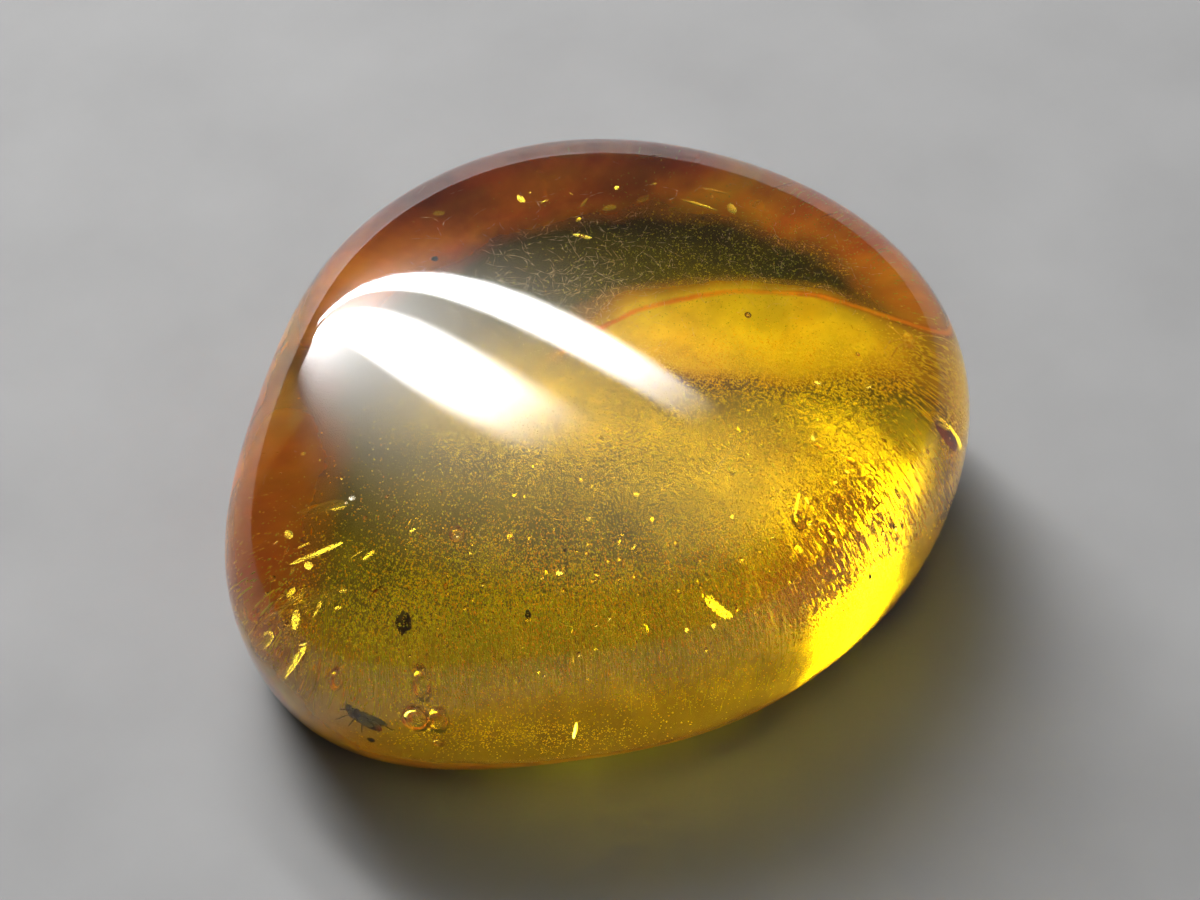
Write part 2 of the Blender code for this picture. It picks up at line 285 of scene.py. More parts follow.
HAIR_CLOUDS = (  # middle, radii, depths under the surface, how many, lengths
    ((550, 285), (95, 60), (0.12, 0.6), 300, (0.3, 1.2)),
    ((640, 250), (120, 60), (0.12, 0.6), 130, (0.2, 0.9)),
    ((790, 265), (75, 30), (0.12, 0.5), 90, (0.2, 0.8)),
    ((600, 450), (200, 110), (0.15, 0.6), 160, (0.1, 0.5)),
)
HAIR_RADIUS = 0.0065
HAIR_WALL = 0.04
HAIR_CURL = 0.6
BRISTLE_SHARE = 0.16  # of an insect's points that carry one
BRISTLE_ROOT = 0.01
BRISTLE_LEAN = 0.35
BRISTLE_LENGTHS = (0.05, 0.14)
BRISTLE_RADIUS = 0.006
SHARP_EDGE = math.radians(60.0)
SCRATCH = ((704, 482), (741, 439))
SCRATCH_DEPTH = 0.15
SCRATCH_RADIUS = 0.012
LOOSE_LEG_RADIUS = 0.014
LOOSE_LEG = ((891, 339), (887, 344), (884, 350), (886, 355))
LOOSE_LEG_HEIGHT = 3.9
INSECTS = (  # node; pixel, height, radius and colour of a tip; the chitin's dark, light and roughness; slot
    (
        "fly",
        ((382, 730), 3.5, 0.34, (0.30, 0.07, 0.01)),
        ((0.012, 0.012, 0.006), (0.05, 0.045, 0.018), 0.45),
        "dark_insect",
    ),
    (
        "midge",
        ((908, 331), 3.4, 0.22, (0.20, 0.09, 0.01)),
        ((0.70, 0.42, 0.05), (0.95, 0.78, 0.22), 0.4),
        "pale_insect",
    ),
)


def camera_axes():
    right = Vector((math.cos(VIEW_AZIMUTH), math.sin(VIEW_AZIMUTH), 0.0))
    ahead = Vector((-math.sin(VIEW_AZIMUTH), math.cos(VIEW_AZIMUTH), 0.0))
    return right, ahead


def camera_place():
    """The camera's eye and the way that it looks."""
    right, ahead = camera_axes()
    forward = ahead * math.cos(VIEW_ELEVATION) - Vector((0.0, 0.0, math.sin(VIEW_ELEVATION)))
    aim = right * AIM_RIGHT + ahead * AIM_AHEAD + Vector((0.0, 0.0, AIM_HEIGHT))
    return aim - forward * VIEW_DISTANCE, forward


def strip_axes():
    right, ahead = camera_axes()
    along = (right * STRIP_ALONG[0] + ahead * STRIP_ALONG[1]).normalized()
    across = (right * STRIP_ACROSS[0] + ahead * STRIP_ACROSS[1]).normalized()
    return along, across


def add_object(name, data):
    made = bpy.data.objects.new(name, data)
    bpy.context.scene.collection.objects.link(made)
    return made


def make_camera():
    eye, forward = camera_place()
    data = bpy.data.cameras.new("camera")
    data.lens = LENS
    data.sensor_width = SENSOR
    data.clip_start, data.clip_end = CLIP
    camera = add_object("camera", data)
    camera.location = eye * MM
    camera.rotation_mode = "QUATERNION"
    camera.rotation_quaternion = forward.to_track_quat("-Z", "Y")
    bpy.context.scene.camera = camera


def add_card(name, centre, across, upward, material):
    """A flat rectangle whose own coordinates run from -1 to 1; it shines on both sides."""
    bm = bmesh.new()
    bmesh.ops.create_grid(bm, x_segments=1, y_segments=1, size=1.0)
    mesh = bpy.data.meshes.new(name)
    bm.to_mesh(mesh)
    bm.free()
    mesh.materials.append(material)
    card = add_object(name, mesh)
    facing = across.cross(upward).normalized()
    turn = Matrix((across * MM, upward * MM, facing)).transposed().to_4x4()
    card.matrix_world = Matrix.Translation(centre * MM) @ turn


def make_cards():
    along, across = strip_axes()
    for i, (name, a0, a1, b0, b1, brightness, ends, sides) in enumerate(CARDS):
        middle = (along * (a0 + a1) + across * (b0 + b1)) / 2 * CEILING
        middle.z = CEILING + i * CARD_STEP
        light = card_material(name, WHITE, brightness, ends, (sides, sides))
        add_card(name, middle, along * (a1 - a0) / 2 * CEILING, across * (b1 - b0) / 2 * CEILING, light)
    right, ahead = camera_axes()
    distance, width, low, high = GOLD_CARD
    colour, brightness = GOLD_CARD_COLOUR, GOLD_CARD_BRIGHTNESS
    light = card_material("gold_card", colour, brightness, GOLD_CARD_ENDS, GOLD_CARD_SIDES)
    middle = ahead * distance + Vector((0.0, 0.0, (low + high) / 2))
    add_card("gold_card", middle, right * width / 2, Vector((0.0, 0.0, (high - low) / 2)), light)


def make_room():
    world = bpy.data.worlds.new("room")
    world.use_nodes = True
    light = world.node_tree.nodes["Background"]
    light.inputs["Color"].default_value = (1.0, 1.0, 1.0, 1.0)
    light.inputs["Strength"].default_value = ROOM_LIGHT
    scene = bpy.context.scene
    scene.world = world
    scene.view_settings.view_transform = "Standard"
    scene.cycles.max_bounces = MAX_BOUNCES
    scene.cycles.transmission_bounces = MAX_BOUNCES


# Materials


def new_material(name, roughness=0.5, **inputs):
    made = bpy.data.materials.new(name)
    made.use_nodes = True
    shader = made.node_tree.nodes["Principled BSDF"]
    shader.inputs["Roughness"].default_value = roughness
    for key, value in inputs.items():
        shader.inputs[key.replace("_", " ")].default_value = value
    return made, made.node_tree, shader


def add_node(tree, kind, **inputs):
    made = tree.nodes.new("ShaderNode" + kind)
    for key, value in inputs.items():
        made.inputs[key.replace("_", " ")].default_value = value
    return made


def place_mm(tree):
    """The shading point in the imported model's frame, in millimetres."""
    coordinates = add_node(tree, "TexCoord")
    scaled = add_node(tree, "VectorMath")
    scaled.operation = "SCALE"
    scaled.inputs["Scale"].default_value = 1.0 / MM
    tree.links.new(coordinates.outputs["Object"], scaled.inputs[0])
    return scaled.outputs["Vector"]


def noise(tree, place, size, detail=3.0):
    made = add_node(tree, "TexNoise", Scale=1.0 / size, Detail=detail)
    tree.links.new(place, made.inputs["Vector"])
    return made.outputs["Fac"]


def ramp(tree, factor, *stops):
    made = add_node(tree, "ValToRGB")
    elements = made.color_ramp.elements
    while len(elements) < len(stops):
        elements.new(0.5)
    for element, (position, colour) in zip(elements, stops):
        element.position = position
        element.color = (*colour, 1.0)
    tree.links.new(factor, made.inputs["Fac"])
    return made.outputs["Color"]


def soft_ends(tree, share, ends):
    """1 along most of a card, and falling to 0 over the soft share of each end."""
    made = ramp(tree, share, (0.0, BLACK), (ends[0], WHITE), (1.0 - ends[1], WHITE), (1.0, BLACK))
    made.node.color_ramp.interpolation = "EASE"
    return made


def card_material(name, colour, brightness, ends, sides):
    """Light that fades out towards the edges of its card."""
    made, tree, shader = new_material(name)
    tree.nodes.remove(shader)
    coordinates = add_node(tree, "TexCoord")
    halved = add_node(tree, "Mapping", Location=(0.5, 0.5, 0.0), Scale=(0.5, 0.5, 1.0))
    tree.links.new(coordinates.outputs["Object"], halved.inputs["Vector"])
    axes = add_node(tree, "SeparateXYZ")
    tree.links.new(halved.outputs["Vector"], axes.inputs["Vector"])
    along = soft_ends(tree, axes.outputs["X"], ends)
    light = mixed(tree, "MULTIPLY", 1.0, along, soft_ends(tree, axes.outputs["Y"], sides))
    light = mixed(tree, "MULTIPLY", 1.0, light, colour)
    lamp = add_node(tree, "Emission", Strength=brightness)
    tree.links.new(light, lamp.inputs["Color"])
    through = add_node(tree, "BsdfTransparent")
    both = add_node(tree, "AddShader")
    tree.links.new(lamp.outputs["Emission"], both.inputs[0])
    tree.links.new(through.outputs["BSDF"], both.inputs[1])
    tree.links.new(both.outputs["Shader"], tree.nodes["Material Output"].inputs["Surface"])
    return made


def floor_material():
    made, tree, shader = new_material("pale_stone", 0.8)
    grain = noise(tree, place_mm(tree), size=9.0, detail=6.0)
    dark, light = (FLOOR_GREY * (1.0 + change) for change in (-FLOOR_MOTTLE, FLOOR_MOTTLE))
    tree.links.new(ramp(tree, grain, (0.3, (dark,) * 3), (0.7, (light,) * 3)), shader.inputs["Base Color"])
    return made


def distance_from(tree, place, middle, radii, heading):
    """How far the place is from the middle, in radii, where the first radius points along the heading."""
    local = add_node(tree, "Mapping", Location=middle, Scale=radii)
    local.vector_type = "TEXTURE"
    local.inputs["Rotation"].default_value = (0.0, 0.0, math.radians(heading))
    tree.links.new(place, local.inputs["Vector"])
    length = add_node(tree, "VectorMath")
    length.operation = "LENGTH"
    tree.links.new(local.outputs["Vector"], length.inputs[0])
    return length.outputs["Value"]


def ragged(tree, distance, place, amount):
    """The distance made uneven by noise, by up to the amount either way."""
    uneven = add_node(tree, "Math")
    uneven.operation = "MULTIPLY_ADD"
    tree.links.new(noise(tree, place, size=2.5, detail=5.0), uneven.inputs[0])
    uneven.inputs[1].default_value = 2.0 * amount
    tree.links.new(distance, uneven.inputs[2])
    centred = add_node(tree, "Math")
    centred.operation = "SUBTRACT"
    tree.links.new(uneven.outputs["Value"], centred.inputs[0])
    centred.inputs[1].default_value = amount
    return centred.outputs["Value"]


def mixed(tree, kind, factor, first, second):
    made = add_node(tree, "MixRGB")
    made.blend_type = kind
    for socket, value in (("Fac", factor), ("Color1", first), ("Color2", second)):
        if isinstance(value, bpy.types.NodeSocket):
            tree.links.new(value, made.inputs[socket])
        elif isinstance(value, tuple):
            made.inputs[socket].default_value = (*value, 1.0)
        else:
            made.inputs[socket].default_value = value
    return made.outputs["Color"]


def skin(tree, place, patch, colours, raggedness):
    """The colours of one patch, by the distance from its middle."""
    distance = ragged(tree, distance_from(tree, place, *patch), place, raggedness)
    return ramp(tree, distance, *colours)


def height_ramp(tree, place, *stops):
    axes = add_node(tree, "SeparateXYZ")
    tree.links.new(place, axes.inputs["Vector"])
    share = add_node(tree, "Math")
    share.operation = "DIVIDE"
    tree.links.new(axes.outputs["Z"], share.inputs[0])
    share.inputs[1].default_value = 2.0 * MIDDLE
    return ramp(tree, share.outputs["Value"], *stops)


def amber_material():
    made, tree, shader = new_material("clear_amber", 0.0, IOR=AMBER_IOR, Transmission_Weight=1.0)
    shader.inputs["Coat Weight"].default_value = COAT_WEIGHT
    shader.inputs["Coat Roughness"].default_value = COAT_ROUGHNESS
    place = place_mm(tree)
    tree.links.new(painted_light_and_shade(tree, place), shader.inputs["Base Color"])
    rough = height_ramp(tree, place, (0.01, (BASE_ROUGHNESS,) * 3), (0.06, (SHEEN_ROUGHNESS,) * 3))
    best, worst = ((share,) * 3 for share in WORN_ROUGHNESS)
    worn = ramp(tree, noise(tree, place, size=1.8, detail=8.0), (0.35, best), (0.65, worst))
    tree.links.new(mixed(tree, "MULTIPLY", 1.0, rough, worn), shader.inputs["Roughness"])
    add_absorption(tree)
    return made


def painted_light_and_shade(tree, place):
    """Painted light and shade: the golden lens with its painted orange edge, the painted olive shade beside
    it and on the base, and the orange crescent, painted shade that dims a caustic.
    """
    lens = skin(tree, place, PAINTED_LENS_PATCH, PAINTED_LENS_EDGE_AND_SHADE, 0.04)
    mask = skin(tree, place, LENS_MASK, LENS_TINT_FADE, 0.0)
    colour = mixed(tree, "MIX", mask, CLEAR, lens)
    # Painted olive shade on the base
    on_base = height_ramp(tree, place, *PAINTED_BASE_SHADE_HEIGHTS)
    base_shade = mixed(tree, "MIX", on_base, CLEAR, skin(tree, place, PAINTED_BASE_SHADE_PATCH, PAINTED_BASE_SHADE, 0.3))
    colour = mixed(tree, "MULTIPLY", 1.0, colour, base_shade)
    # Painted shade that dims the crescent's caustic
    return mixed(tree, "MULTIPLY", 1.0, colour, skin(tree, place, PAINTED_CRESCENT_SHADE_PATCH, PAINTED_CRESCENT_SHADE, 0.1))


def add_absorption(tree):
    """Fills the amber with what takes AMBER_ABSORPTION out of the light."""
    density = 1.02 * max(AMBER_ABSORPTION)
    inside = add_node(tree, "VolumeAbsorption", Density=density)
    inside.inputs["Color"].default_value = (*(1.0 - value / density for value in AMBER_ABSORPTION), 1.0)
    tree.links.new(inside.outputs["Volume"], tree.nodes["Material Output"].inputs["Volume"])


def mottled_material(name, roughness, size, colours, detail=3.0):
    made, tree, shader = new_material(name, roughness)
    tint = noise(tree, place_mm(tree), size, detail)
    tree.links.new(ramp(tree, tint, *colours), shader.inputs["Base Color"])
    return made


def film_material():
    """Red-brown at the back and the left, partly the amber's own colour and partly painted glow; painted
    orange light at the near edge, the end and the lens's edge line, and painted yellow light inside the
    lens.
    """
    made, tree, shader = new_material("red_cloud")
    place = place_mm(tree)
    # Red-brown, partly the amber's own colour and partly painted glow
    reddened = lightest(
        tree,
        skin(tree, place, BACK_RED_AND_PAINTED_GLOW, BACK_FADE, 0.16),
        skin(tree, place, SIDE_RED_AND_PAINTED_GLOW, SIDE_FADE, 0.22),
    )
    # Painted orange light: the lens's edge line, the low rim and the left end
    line = painted_lens_edge(tree, place)
    # Painted orange glow at the left end
    end = skin(tree, place, PAINTED_END_GLOW_PATCH, PAINTED_END_GLOW_FADE, 0.25)
    # The painted orange light of the lens's edge, the low rim and the left end
    painted_edge_light = lightest(tree, line, lightest(tree, painted_rim_light(tree, place), end))
    # Painted yellow light inside the lens
    glow = skin(tree, place, PAINTED_GLOW_PATCH, PAINTED_GLOW_FADE, 0.12)
    streaks = add_node(tree, "Mapping", Scale=(0.5, 1.0, 0.6))
    tree.links.new(place, streaks.inputs["Vector"])
    mottle = noise(tree, streaks.outputs["Vector"], size=3.0, detail=5.0)
    red = ramp(tree, mottle, *RED_COLOURS)
    orange = ramp(tree, mottle, *ORANGE_COLOURS)
    yellow = ramp(tree, mottle, *YELLOW_COLOURS)
    only_glow = mixed(tree, "SUBTRACT", 1.0, glow, line)
    colour = mixed(tree, "MIX", reddened, mixed(tree, "MIX", only_glow, orange, yellow), red)
    tree.links.new(colour, shader.inputs["Base Color"])
    thinnest, thickest = ((share,) * 3 for share in FILM_COVER)
    thick = ramp(tree, noise(tree, place, size=2.0, detail=5.0), (0.35, thinnest), (0.6, thickest))
    cover = lightest(tree, reddened, lightest(tree, painted_edge_light, glow))
    tree.links.new(mixed(tree, "MULTIPLY", 1.0, cover, thick), shader.inputs["Alpha"])
    return made


def lightest(tree, first, second):
    return mixed(tree, "LIGHTEN", 1.0, first, second)


# A painted orange line of light along the lens's edge
def painted_lens_edge(tree, place):
    line = skin(tree, place, PAINTED_LENS_PATCH, PAINTED_LENS_EDGE_LINE, 0.03)
    return mixed(tree, "MULTIPLY", 1.0, line, skin(tree, place, LENS_MASK, PAINTED_LENS_EDGE_FADE, 0.0))


# Painted orange light along the low rim
def painted_rim_light(tree, place):
    edge = skin(tree, place, PAINTED_RIM_LIGHT_PATCH, PAINTED_RIM_LIGHT_FADE, 0.05)
    return mixed(tree, "MULTIPLY", 1.0, edge, height_ramp(tree, place, *PAINTED_RIM_LIGHT_HEIGHTS))


def insect_material(name, place_of_tip, radius_of_tip, colour_of_tip, dark, light, roughness):
    """Chitin with fine mottling, and another colour round one tip."""
    made, tree, shader = new_material(name, roughness)
    place = place_mm(tree)
    body = ramp(tree, noise(tree, place, size=0.12, detail=6.0), (0.38, dark), (0.66, light))
    tip = (place_of_tip, (radius_of_tip,) * 3, 0.0)
    near_tip = skin(tree, place, tip, ((0.3, WHITE), (1.0, BLACK)), 0.1)
    tree.links.new(mixed(tree, "MIX", near_tip, body, colour_of_tip), shader.inputs["Base Color"])
    bump = add_node(tree, "Bump", Strength=0.5, Distance=0.01 * MM)
    tree.links.new(noise(tree, place, size=0.05), bump.inputs["Height"])
    tree.links.new(bump.outputs["Normal"], shader.inputs["Normal"])
    glossy, dull = ((roughness * share,) * 3 for share in (0.7, 1.3))
    gloss = ramp(tree, noise(tree, place, size=0.08), (0.3, glossy), (0.7, dull))
    tree.links.new(gloss, shader.inputs["Roughness"])
    return made


# The pebble


def ring_share_and_height(latitude):
    sine = math.sin(latitude)
    share = math.cos(latitude) * (1.0 + FULLNESS[0] * sine**2 + FULLNESS[1] * sine**3)
    return share, MIDDLE + RISE[0] * sine + RISE[1] * sine**2 + RISE[2] * sine**3


def underside_drop(x, y, height):
    if height >= MIDDLE:
        return 0.0
    tilt = UNDERSIDE_TILT[0] * x + UNDERSIDE_TILT[1] * y
    bow = UNDERSIDE_BOW[0] * x * x + UNDERSIDE_BOW[1] * x * y + UNDERSIDE_BOW[2] * y * y
    return (1.0 - height / MIDDLE) ** 2 * (tilt + bow / BOW_SPAN)


def ground(height):
    above = (height - BASE_LEVEL) / BASE_SOFTNESS
    if above > FULL_HEIGHT_ABOVE:
        return height
    return BASE_LEVEL + BASE_SOFTNESS * math.log1p(math.exp(above))


def pebble_point(latitude, turn):
    share, height = ring_share_and_height(latitude)
    waves = sum(share**n * (c * math.cos(n * turn) + d * math.sin(n * turn)) for n, c, d in LOBES)
    reach = RADIUS * share * (1.0 + waves)
    x = reach * math.cos(turn)
    y = reach * math.sin(turn)
    return x, y, ground(height + underside_drop(x, y, height))


def skin_between(bm, lower, upper):
    for i, corner in enumerate(lower):
        after = (i + 1) % len(lower)
        bm.faces.new((corner, lower[after], upper[after], upper[i]))


def close_with_point(bm, ring, point, upward):
    tip = bm.verts.new(point)
    for i, corner in enumerate(ring):
        after = ring[(i + 1) % len(ring)]
        bm.faces.new((corner, after, tip) if upward else (after, corner, tip))


def pebble_surface(low, high, ring_count, ring_points):
    """The outer surface, fitted to the CAD pebble's box from low to high."""
    bm = bmesh.new()
    rings = []
    for i in range(1, ring_count):
        latitude = math.pi * (i / ring_count - 0.5)
        turns = [math.tau * j / ring_points for j in range(ring_points)]
        rings.append([bm.verts.new(pebble_point(latitude, turn)) for turn in turns])
    for lower, upper in zip(rings, rings[1:]):
        skin_between(bm, lower, upper)
    close_with_point(bm, rings[0], pebble_point(-math.pi / 2, 0.0), upward=False)
    close_with_point(bm, rings[-1], pebble_point(math.pi / 2, 0.0), upward=True)
    start = Vector(min(vertex.co[axis] for vertex in bm.verts) for axis in range(3))
    end = Vector(max(vertex.co[axis] for vertex in bm.verts) for axis in range(3))
    for vertex in bm.verts:
        share = [(vertex.co[axis] - start[axis]) / (end[axis] - start[axis]) for axis in range(3)]
        vertex.co = [low[axis] + share[axis] * (high[axis] - low[axis]) for axis in range(3)]
    return bm


class Sight:
    """Follows the camera's rays through pixels of the picture into the amber."""

    def __init__(self, surface):
        self.right, _ = camera_axes()
        self.eye, self.forward = camera_place()
        self.up = self.right.cross(self.forward)
        surface.normal_update()
        self.tree = BVHTree.FromBMesh(surface)

    def entry(self, pixel):
        """Where the pixel's ray meets the pebble, its way once bent there, and the normal; or None."""
        across = (pixel[0] - PICTURE[0] / 2) * SENSOR / PICTURE[0] / LENS
        down = (pixel[1] - PICTURE[1] / 2) * SENSOR / PICTURE[0] / LENS
        ray = (self.forward + self.right * across - self.up * down).normalized()
        point, normal, _, _ = self.tree.ray_cast(self.eye, ray)
        if point is None:
            return None
        bend = 1.0 / AMBER_IOR
        facing = -ray.dot(normal)
        depth = math.sqrt(1.0 - bend * bend * (1.0 - facing * facing))
        return point, ray * bend + normal * (bend * facing - depth), normal

    def at_height(self, pixel, height):
        point, inward, _ = self.entry(pixel)
        return point + inward * ((height - point.z) / inward.z)

    def at_depth(self, pixel, depth):
        """How far the bent ray has gone, rather than how deep it is under the surface."""
        point, inward, _ = self.entry(pixel)
        return point + inward * depth

    def encloses(self, point, wall=WALL):
        """Whether the amber reaches at least this far past the point on every side."""
        nearest, normal, _, distance = self.tree.find_nearest(point)
        return (point - nearest).dot(normal) < 0.0 and distance > wall


def join(bm, heap):
    mesh = bpy.data.meshes.new("heap")
    mesh.from_pydata(heap.points, [], heap.faces)
    bm.from_mesh(mesh)
    bpy.data.meshes.remove(mesh)


OCTAHEDRON = (  # corners, and the faces between them
    ((1, 0, 0), (-1, 0, 0), (0, 1, 0), (0, -1, 0), (0, 0, 1), (0, 0, -1)),
    ((0, 2, 4), (2, 1, 4), (1, 3, 4), (3, 0, 4), (2, 0, 5), (1, 2, 5), (3, 1, 5), (0, 3, 5)),
)


class Heap:
    """Many small closed shapes, gathered into one mesh."""

    def __init__(self):
        self.points = []
        self.faces = []

    def add(self, points, faces):
        start = len(self.points)
        self.points += points
        self.faces += [[start + corner for corner in face] for face in faces]

    def bmesh(self):
        bm = bmesh.new()
        join(bm, self)
        return bm


def any_turn(dice):
    return Euler([dice.uniform(0.0, math.tau) for _ in range(3)]).to_matrix()


def add_grain(heap, centre, size, dice):
    """A small uneven crystal."""
    turn = any_turn(dice)
    radii = [size * dice.uniform(*GRAIN_SHARES) for _ in range(3)]
    corners, faces = OCTAHEDRON
    points = [centre + turn @ Vector(corner[axis] * radii[axis] for axis in range(3)) for corner in corners]
    heap.add(points, faces)


def add_fibre(heap, start, end, radius):
    """A three-sided needle, pointed at both ends and widest halfway."""
    along = (end - start).normalized()
    across = along.orthogonal().normalized() * radius
    third = Matrix.Rotation(math.tau / 3, 3, along)
    waist = (start + end) / 2
    points = [start, waist + across, waist + third @ across, waist + third @ (third @ across), end]
    heap.add(points, [(0, 2, 1), (0, 3, 2), (0, 1, 3), (4, 1, 2), (4, 2, 3), (4, 3, 1)])


def add_flake(heap, middle, normal, along, half_length, half_width):
    """A thin hollow with sharp edges: its faces look inwards, because what they bound is the amber."""
    across = normal.cross(along).normalized()
    along = across.cross(normal)
    turns = [math.tau * i / FLAKE_CORNERS for i in range(FLAKE_CORNERS)]
    unit_ring = [Vector((math.cos(turn), math.sin(turn), 0.0)) for turn in turns]
    ring = [middle + along * (p.x * half_length) + across * (p.y * half_width) for p in unit_ring]
    points = ring + [middle + normal * FLAKE_THICKNESS / 2, middle - normal * FLAKE_THICKNESS / 2]
    top, bottom = FLAKE_CORNERS, FLAKE_CORNERS + 1
    edges = [(i, (i + 1) % FLAKE_CORNERS) for i in range(FLAKE_CORNERS)]
    heap.add(points, [(after, i, top) for i, after in edges] + [(i, after, bottom) for i, after in edges])


def ball_points(middle, radius, segments, unevenness, dice):
    """The lowest point, the rings from the lowest one up, and the highest point."""
    rings = segments // 2
    points = [middle + Vector((0.0, 0.0, -radius))]
    for i in range(1, rings):
        latitude = math.pi * (i / rings - 0.5)
        for j in range(segments):
            turn = math.tau * j / segments
            flat = math.cos(latitude)
            spoke = Vector((math.cos(turn) * flat, math.sin(turn) * flat, math.sin(latitude)))
            reach = radius * (1.0 + (dice.uniform(-unevenness, unevenness) if dice else 0.0))
            points.append(middle + spoke * reach)
    points.append(middle + Vector((0.0, 0.0, radius)))
    return points


def add_ball(heap, middle, radius, segments, hollow, unevenness=0.0, dice=None):
    """A ball of latitude rings; a hollow one has its faces looking inwards."""
    points = ball_points(middle, radius, segments, unevenness, dice)
    last = len(points) - 1
    top = last - segments
    faces = []
    for j in range(segments):
        after = (j + 1) % segments
        faces.append((0, 1 + after, 1 + j))
        faces.append((top + j, top + after, last))
        for low in range(1, top, segments):
            high = low + segments
            faces.append((low + j, low + after, high + after, high + j))
    heap.add(points, [face[::-1] for face in faces] if hollow else faces)


def near_pixel(dice, middle, radii):
    return dice.gauss(middle[0], radii[0] / CLOUD_SPREAD), dice.gauss(middle[1], radii[1] / CLOUD_SPREAD)


def cloud_points(sight, dice, middle, radii, heights, count, wall=WALL):
    """Points of a cloud that thins out from its middle, as the camera sees it."""
    made = 0
    while made < count:
        pixel = near_pixel(dice, middle, radii)
        if not sight.entry(pixel):
            continue
        point = sight.at_height(pixel, dice.uniform(*heights))
        if sight.encloses(point, wall):
            made += 1
            yield point


def glint_normal(sight, pixel):
    """The way a flake faces when it throws the cards' light back to the camera."""
    _, inward, _ = sight.entry(pixel)
    along, across = strip_axes()
    card = along * GLINT_PLACE[0] + across * GLINT_PLACE[1] + Vector((0.0, 0.0, 1.0))
    card.normalize()
    bent = Vector((card.x / AMBER_IOR, card.y / AMBER_IOR, 0.0))
    bent.z = math.sqrt(1.0 - bent.length_squared)
    return (bent - inward.normalized()).normalized()


def flake_at(sight, heap, dice, pixel, middle, half_length, half_width, heading):
    """A flake that throws light to the camera, where the amber has room for it."""
    if not sight.encloses(middle, half_length * 0.5 + 0.1):
        return
    tilt = Vector([dice.gauss(0.0, FLAKE_TILT) for _ in range(3)])
    normal = (glint_normal(sight, pixel) + tilt).normalized()
    angle = math.radians(heading)
    along = sight.right * math.cos(angle) + sight.up * math.sin(angle)
    add_flake(heap, middle, normal, along, half_length, half_width)


def hollows(sight):
    """The bubbles and cracks, as inward-facing shells inside the amber."""
    dice = random.Random(SEED + 2)
    heap = Heap()
    for pixel, height, radius in BUBBLES:
        add_ball(heap, sight.at_height(pixel, height), radius, segments=32, hollow=True)
    for middle, radii, heights, count, sizes in BUBBLE_CLOUDS:
        for point in cloud_points(sight, dice, middle, radii, heights, count):
            add_ball(heap, point, dice.uniform(*sizes), segments=14, hollow=True)
    for pixel, height, half_length, half_width, heading in FLAKES:
        flake_at(sight, heap, dice, pixel, sight.at_height(pixel, height), half_length, half_width, heading)
    for pixel, depth, size in SPARKS:
        flake_at(sight, heap, dice, pixel, sight.at_depth(pixel, depth), size, size, 0.0)
    for centre, radii, heights, count, sizes in FLAKE_CLOUDS:
        for _ in range(count):
            pixel = near_pixel(dice, centre, radii)
            size = dice.uniform(*sizes)
            heading = dice.uniform(-90.0, 90.0)
            if sight.entry(pixel):
                middle = sight.at_height(pixel, dice.uniform(*heights))
                half_width = size * dice.uniform(*FLAKE_WIDTHS)
                flake_at(sight, heap, dice, pixel, middle, size, half_width, heading)
    return heap


def make_specks(sight):
    dice = random.Random(SEED + 3)
    heap = Heap()
    for pixel, height, radius in SPECKS:
        middle = sight.at_height(pixel, height)
        add_ball(heap, middle, radius, segments=16, hollow=False, unevenness=SPECK_UNEVENNESS, dice=dice)
    dust = mottled_material("bark_dust", 0.7, 0.15, SPECK_COLOURS)
    finish_piece("dark_flecks", heap.bmesh(), dust)


def dress_insect(sight, node, tip, shades):
    """Gives a CAD insect its chitin, and bristles that stand on its surface."""
    body = bpy.data.objects[node]
    pixel, height, radius, colour = tip
    chitin = insect_material(node + "_chitin", sight.at_height(pixel, height), radius, colour, *shades)
    for material_slot in body.material_slots:
        material_slot.material = chitin
    dice = random.Random(SEED + len(node))
    heap = Heap()
    for vertex in body.data.vertices:
        if dice.random() < BRISTLE_SHARE:
            root = (body.matrix_world @ vertex.co) / MM
            lean = Vector([dice.gauss(0.0, BRISTLE_LEAN) for _ in range(3)])
            way = (vertex.normal + lean).normalized()
            point = root + way * dice.uniform(*BRISTLE_LENGTHS)
            add_fibre(heap, root - way * BRISTLE_ROOT, point, BRISTLE_RADIUS)
    finish_piece(node + "_bristles", heap.bmesh(), chitin)


def add_hair(sight, heap, dice, entry, depths, lengths):
    """A hair that lies along the surface under the entry, bent once, if the amber holds all of it."""
    point, _, normal = entry
    start = point - normal * dice.uniform(*depths)
    direction = any_turn(dice) @ normal
    direction = (direction - normal * direction.dot(normal)).normalized()
    reach = dice.uniform(*lengths)
    elbow = start + direction * reach / 2
    end = elbow + (direction + direction.cross(normal) * dice.gauss(0.0, HAIR_CURL)) * reach / 2
    if all(sight.encloses(joint, HAIR_WALL) for joint in (start, elbow, end)):
        add_fibre(heap, start, elbow, HAIR_RADIUS)
        add_fibre(heap, elbow, end, HAIR_RADIUS)


def make_hairs(sight):
    """The hairs, the scratch and the loose leg."""
    dice = random.Random(SEED + 4)
    heap = Heap()
    for middle, radii, depths, count, lengths in HAIR_CLOUDS:
        for _ in range(count):
            entry = sight.entry(near_pixel(dice, middle, radii))
            if entry:
                add_hair(sight, heap, dice, entry, depths, lengths)
    ends = [sight.entry(pixel) for pixel in SCRATCH]
    start, end = (point - normal * SCRATCH_DEPTH for point, _, normal in ends)
    add_fibre(heap, start, end, SCRATCH_RADIUS)
    joints = [sight.at_height(pixel, LOOSE_LEG_HEIGHT) for pixel in LOOSE_LEG]
    for upper, lower in zip(joints, joints[1:]):
        add_fibre(heap, upper, lower, LOOSE_LEG_RADIUS)
    pale = mottled_material("pale_hair", 0.5, 1.0, HAIR_COLOURS)
    finish_piece("pale_hairs", heap.bmesh(), pale)


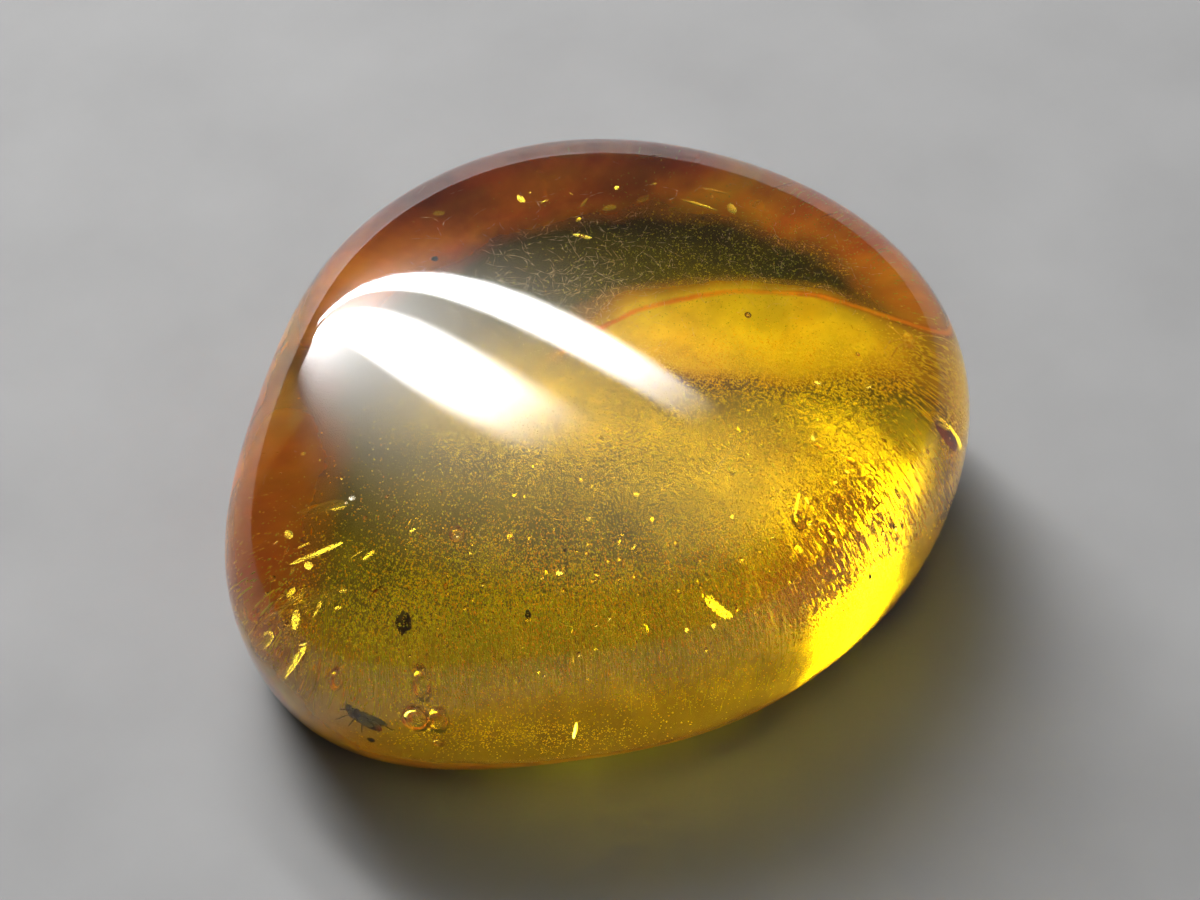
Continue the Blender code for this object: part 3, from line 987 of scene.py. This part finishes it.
def make_film(low, high):
    """The mottled film just under the surface, which its material makes clear away from its patches of
    red-brown and of painted orange and yellow light.
    """
    bm = pebble_surface(low, high, FILM_RINGS, FILM_RING_POINTS)
    bm.normal_update()
    for vertex in bm.verts:
        vertex.co -= vertex.normal * FILM_DEPTH
    bmesh.ops.delete(bm, geom=[vertex for vertex in bm.verts if vertex.co.z > FILM_TOP], context="VERTS")
    finish_piece("red_cloud", bm, film_material())


def make_grains(sight, name, clouds, seed, wall, colours):
    dice = random.Random(seed)
    heap = Heap()
    for middle, radii, heights, count, sizes in clouds:
        for point in cloud_points(sight, dice, middle, radii, heights, count, wall):
            add_grain(heap, point, dice.uniform(*sizes), dice)
    crumbs = mottled_material(name, 0.45, 1.6, colours, detail=5.0)
    finish_piece(name, heap.bmesh(), crumbs)


def make_fibres(sight):
    dice = random.Random(SEED + 1)
    heap = Heap()
    for middle, radii, heights, count, lengths in FIBRE_CLOUDS:
        for point in cloud_points(sight, dice, middle, radii, heights, count):
            lean = Vector([dice.gauss(0.0, FIBRE_LEAN) for _ in range(3)])
            reach = (sight.up + lean).normalized() * dice.uniform(*lengths) / 2
            if sight.encloses(point - reach) and sight.encloses(point + reach):
                add_fibre(heap, point - reach, point + reach, FIBRE_RADIUS)
    pale = mottled_material("pale_fibre", 0.4, 1.5, FIBRE_COLOURS)
    finish_piece("pale_fibres", heap.bmesh(), pale)


def finish_piece(name, bm, surface):
    mesh = bpy.data.meshes.new(name)
    bmesh.ops.scale(bm, vec=(MM, MM, MM), verts=bm.verts)
    bm.to_mesh(mesh)
    bm.free()
    mesh.shade_smooth()
    mesh.set_sharp_from_angle(angle=SHARP_EDGE)
    mesh.materials.append(surface)
    piece = add_object(name, mesh)
    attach(piece, "root")
    return piece


def make_floor():
    bm = bmesh.new()
    bmesh.ops.create_grid(bm, x_segments=1, y_segments=1, size=FLOOR_SIZE / 2)
    bmesh.ops.scale(bm, vec=(MM, MM, MM), verts=bm.verts)
    mesh = bpy.data.meshes.new("floor")
    bm.to_mesh(mesh)
    bm.free()
    mesh.materials.append(floor_material())
    floor = add_object("floor", mesh)
    floor.location.z = -FLOOR_DROP * MM


def amber_box():
    corners = [corner / MM for half in ("amber_lower", "amber_upper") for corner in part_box(half)]
    low = Vector(min(corner[axis] for corner in corners) for axis in range(3))
    high = Vector(max(corner[axis] for corner in corners) for axis in range(3))
    return low, high


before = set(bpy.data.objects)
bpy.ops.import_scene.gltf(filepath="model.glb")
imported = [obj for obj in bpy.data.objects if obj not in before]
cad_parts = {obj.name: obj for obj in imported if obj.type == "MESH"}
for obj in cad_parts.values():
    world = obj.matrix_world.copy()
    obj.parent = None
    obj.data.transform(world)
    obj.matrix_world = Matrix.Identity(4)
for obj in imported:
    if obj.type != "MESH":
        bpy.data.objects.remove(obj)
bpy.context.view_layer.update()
make_camera()
make_cards()
make_room()
make_floor()
pebble = pebble_surface(*amber_box(), RINGS, RING_POINTS)
sight = Sight(pebble)
join(pebble, hollows(sight))
amber = finish_piece("amber", pebble, amber_material())
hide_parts("amber_lower", "amber_upper")
make_grains(sight, "gold_grains", GRAIN_CLOUDS, SEED, WALL, GRAIN_COLOURS)
make_film(*amber_box())
make_grains(sight, "green_grains", GREEN_CLOUDS, SEED + 10, WALL, GREEN_COLOURS)
make_grains(sight, "brown_grains", BROWN_CLOUDS, SEED + 8, WALL, BROWN_COLOURS)
make_grains(sight, "yellow_grains", YELLOW_CLOUDS, SEED + 6, RIM_WALL, YELLOW_COLOURS)
make_fibres(sight)
make_specks(sight)
make_hairs(sight)
for node, tip, shades, slot in INSECTS:
    dress_insect(sight, node, tip, shades)
